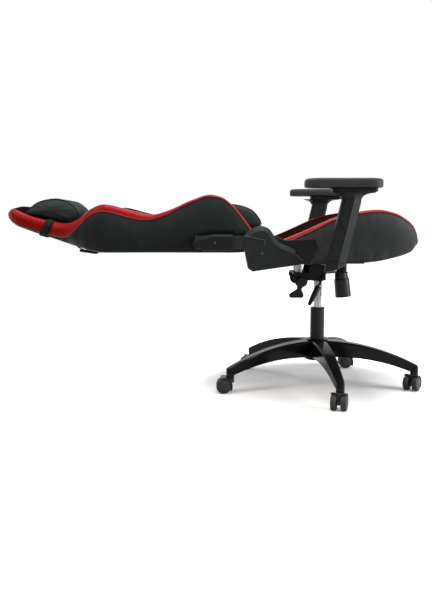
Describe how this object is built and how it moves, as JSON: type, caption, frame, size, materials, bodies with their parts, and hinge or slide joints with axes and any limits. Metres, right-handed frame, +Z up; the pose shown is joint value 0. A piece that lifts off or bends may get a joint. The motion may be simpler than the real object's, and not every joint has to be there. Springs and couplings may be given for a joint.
{
  "type": "gaming chair",
  "caption": "Racing-style swivel chair with bolstered seat, flat-folding winged backrest, pillows, adjustable armrests, tilt mechanism, gas lift and star base on casters.",
  "frame": {"origin": "on the floor under the axis of the gas lift", "axes": "+X the way the sitter faces, +Y the sitter's left, +Z up"},
  "size_m": [1.3861, 0.7724, 0.6996],
  "materials": {
    "base_black": "glossy",
    "steel_black": "satin",
    "steel_bare": "satin",
    "chrome": "polished",
    "plastic_black": "matte",
    "plastic_grey": "satin",
    "caster_wheel": "matte",
    "leatherette": "satin leatherette",
    "pillow": "satin leatherette",
    "webbing": "woven",
    "arm_pad": "soft",
    "button_grey": "satin"
  },
  "bodies": {
    "base": {"star_base": "base_black", "gas_tube": "steel_black", "tube_bush": "plastic_black", "piston_rod": "steel_bare", "stem_sockets": "steel_bare"},
    "caster_1": {"caster_hood_1": "plastic_black"},
    "wheel_1_right": {"wheel_1_right": "caster_wheel"},
    "wheel_1_left": {"wheel_1_left": "caster_wheel"},
    "caster_2": {"caster_hood_2": "plastic_black"},
    "wheel_2_right": {"wheel_2_right": "caster_wheel"},
    "wheel_2_left": {"wheel_2_left": "caster_wheel"},
    "caster_3": {"caster_hood_3": "plastic_black"},
    "wheel_3_right": {"wheel_3_right": "caster_wheel"},
    "wheel_3_left": {"wheel_3_left": "caster_wheel"},
    "caster_4": {"caster_hood_4": "plastic_black"},
    "wheel_4_right": {"wheel_4_right": "caster_wheel"},
    "wheel_4_left": {"wheel_4_left": "caster_wheel"},
    "caster_5": {"caster_hood_5": "plastic_black"},
    "wheel_5_right": {"wheel_5_right": "caster_wheel"},
    "wheel_5_left": {"wheel_5_left": "caster_wheel"},
    "lift": {"gas_cylinder": "chrome"},
    "swivel": {"swivel_bracket": "steel_black"},
    "seat": {"tilt_plate": "steel_black", "seat_spacers": "steel_bare", "seat_frame": "steel_black", "seat_cushion": "leatherette", "spring_cup": "plastic_black", "hinge_plate_right": "steel_black", "hinge_plate_left": "steel_black", "hinge_cover_right": "plastic_grey", "hinge_cover_left": "plastic_grey", "arm_bracket_right": "steel_black", "arm_bracket_left": "steel_black", "arm_boot_right": "plastic_grey", "arm_boot_left": "plastic_grey"},
    "tension_knob": {"tension_knob": "plastic_black"},
    "height_lever": {"height_lever": "steel_black", "height_grip": "plastic_black"},
    "tilt_lock_lever": {"tilt_lock_lever": "plastic_black"},
    "back": {"back_frame": "steel_black", "back_cushion": "leatherette", "back_arm_right": "steel_black", "back_arm_left": "steel_black", "back_cover_right": "plastic_grey", "back_cover_left": "plastic_grey", "head_pillow": "pillow", "lumbar_pillow": "pillow", "pillow_straps": "webbing"},
    "recline_lever": {"recline_lever": "plastic_black"},
    "arm_post_right": {"arm_post_right": "plastic_grey"},
    "arm_button_right": {"arm_button_right": "plastic_black"},
    "arm_slider_right": {"arm_slider_right": "plastic_black"},
    "arm_pad_right": {"arm_pad_right": "arm_pad"},
    "pad_button_right": {"pad_button_right": "button_grey"},
    "arm_post_left": {"arm_post_left": "plastic_grey"},
    "arm_button_left": {"arm_button_left": "plastic_black"},
    "arm_slider_left": {"arm_slider_left": "plastic_black"},
    "arm_pad_left": {"arm_pad_left": "arm_pad"},
    "pad_button_left": {"pad_button_left": "button_grey"}
  },
  "joints": [
    {"name": "caster_swivel_1", "type": "hinge", "parent": "base", "child": "caster_1", "pos_m": [0.32346, -0.07915, 0.06], "axis": [0, 0, 1], "continuous": true},
    {"name": "wheel_roll_1_right", "type": "hinge", "parent": "caster_1", "child": "wheel_1_right", "pos_m": [0.31084, -0.09717, 0.025], "axis": [0.8192, -0.5736, 0], "continuous": true},
    {"name": "wheel_roll_1_left", "type": "hinge", "parent": "caster_1", "child": "wheel_1_left", "pos_m": [0.31084, -0.09717, 0.025], "axis": [0.8192, -0.5736, 0], "continuous": true},
    {"name": "caster_swivel_2", "type": "hinge", "parent": "base", "child": "caster_2", "pos_m": [0.17523, 0.28317, 0.06], "axis": [0, 0, 1], "continuous": true},
    {"name": "wheel_roll_2_right", "type": "hinge", "parent": "caster_2", "child": "wheel_2_right", "pos_m": [0.15323, 0.28317, 0.025], "axis": [0, -1, 0], "continuous": true},
    {"name": "wheel_roll_2_left", "type": "hinge", "parent": "caster_2", "child": "wheel_2_left", "pos_m": [0.15323, 0.28317, 0.025], "axis": [0, -1, 0], "continuous": true},
    {"name": "caster_swivel_3", "type": "hinge", "parent": "base", "child": "caster_3", "pos_m": [-0.21516, 0.25416, 0.06], "axis": [0, 0, 1], "continuous": true},
    {"name": "wheel_roll_3_right", "type": "hinge", "parent": "caster_3", "child": "wheel_3_right", "pos_m": [-0.23716, 0.25416, 0.025], "axis": [0, -1, 0], "continuous": true},
    {"name": "wheel_roll_3_left", "type": "hinge", "parent": "caster_3", "child": "wheel_3_left", "pos_m": [-0.23716, 0.25416, 0.025], "axis": [0, -1, 0], "continuous": true},
    {"name": "caster_swivel_4", "type": "hinge", "parent": "base", "child": "caster_4", "pos_m": [-0.30821, -0.12609, 0.06], "axis": [0, 0, 1], "continuous": true},
    {"name": "wheel_roll_4_right", "type": "hinge", "parent": "caster_4", "child": "wheel_4_right", "pos_m": [-0.33021, -0.12609, 0.025], "axis": [0, -1, 0], "continuous": true},
    {"name": "wheel_roll_4_left", "type": "hinge", "parent": "caster_4", "child": "wheel_4_left", "pos_m": [-0.33021, -0.12609, 0.025], "axis": [0, -1, 0], "continuous": true},
    {"name": "caster_swivel_5", "type": "hinge", "parent": "base", "child": "caster_5", "pos_m": [0.02468, -0.33208, 0.06], "axis": [0, 0, 1], "continuous": true},
    {"name": "wheel_roll_5_right", "type": "hinge", "parent": "caster_5", "child": "wheel_5_right", "pos_m": [0.01788, -0.35301, 0.025], "axis": [0.9511, -0.309, 0], "continuous": true},
    {"name": "wheel_roll_5_left", "type": "hinge", "parent": "caster_5", "child": "wheel_5_left", "pos_m": [0.01788, -0.35301, 0.025], "axis": [0.9511, -0.309, 0], "continuous": true},
    {"name": "lift_slide", "type": "slide", "parent": "base", "child": "lift", "axis": [0, 0, 1], "range_m": [-0.085, 0.015]},
    {"name": "seat_swivel", "type": "hinge", "parent": "lift", "child": "swivel", "pos_m": [0, 0, 0.38], "axis": [0, 0, 1], "continuous": true},
    {"name": "seat_tilt", "type": "hinge", "parent": "swivel", "child": "seat", "pos_m": [0, 0, 0.382], "axis": [0, -1, 0], "range_deg": [0, 12]},
    {"name": "tension_turn", "type": "hinge", "parent": "seat", "child": "tension_knob", "pos_m": [0.08, 0, 0.397], "axis": [0.1132, 0, -0.9936], "continuous": true},
    {"name": "height_pull", "type": "hinge", "parent": "seat", "child": "height_lever", "pos_m": [0.004, -0.08, 0.387], "axis": [0, 1, 0], "range_deg": [0, 12], "stiffness_Nm_per_rad": 1},
    {"name": "tilt_lock_turn", "type": "hinge", "parent": "seat", "child": "tilt_lock_lever", "pos_m": [-0.068, -0.08, 0.373], "axis": [0, 1, 0], "range_deg": [0, 30]},
    {"name": "back_recline", "type": "hinge", "parent": "seat", "child": "back", "pos_m": [-0.218, 0, 0.507], "axis": [0, 1, 0], "range_deg": [0, 85]},
    {"name": "recline_pull", "type": "hinge", "parent": "seat", "child": "recline_lever", "pos_m": [-0.218, 0.287, 0.507], "axis": [0, -1, 0], "range_deg": [0, 20], "stiffness_Nm_per_rad": 3},
    {"name": "arm_height_right", "type": "slide", "parent": "seat", "child": "arm_post_right", "axis": [0.225, 0, 0.9744], "range_m": [0, 0.07]},
    {"name": "arm_press_right", "type": "slide", "parent": "arm_post_right", "child": "arm_button_right", "axis": [0, 1, 0], "range_m": [0, 0.002], "stiffness_N_per_m": 900},
    {"name": "pad_slide_right", "type": "slide", "parent": "arm_post_right", "child": "arm_slider_right", "axis": [1, 0, 0], "range_m": [-0.025, 0.025]},
    {"name": "pad_swivel_right", "type": "hinge", "parent": "arm_slider_right", "child": "arm_pad_right", "pos_m": [0.056, -0.322, 0.686], "axis": [0, 0, 1], "range_deg": [-12, 12]},
    {"name": "pad_press_right", "type": "slide", "parent": "arm_slider_right", "child": "pad_button_right", "axis": [-1, 0, 0], "range_m": [0, 0.002], "stiffness_N_per_m": 900},
    {"name": "arm_height_left", "type": "slide", "parent": "seat", "child": "arm_post_left", "axis": [0.225, 0, 0.9744], "range_m": [0, 0.07]},
    {"name": "arm_press_left", "type": "slide", "parent": "arm_post_left", "child": "arm_button_left", "axis": [0, -1, 0], "range_m": [0, 0.002], "stiffness_N_per_m": 900},
    {"name": "pad_slide_left", "type": "slide", "parent": "arm_post_left", "child": "arm_slider_left", "axis": [1, 0, 0], "range_m": [-0.05, 0]},
    {"name": "pad_swivel_left", "type": "hinge", "parent": "arm_slider_left", "child": "arm_pad_left", "pos_m": [0.081, 0.322, 0.686], "axis": [0, 0, 1], "range_deg": [-2, 22]},
    {"name": "pad_press_left", "type": "slide", "parent": "arm_slider_left", "child": "pad_button_left", "axis": [-1, 0, 0], "range_m": [0, 0.002], "stiffness_N_per_m": 900}
  ]
}
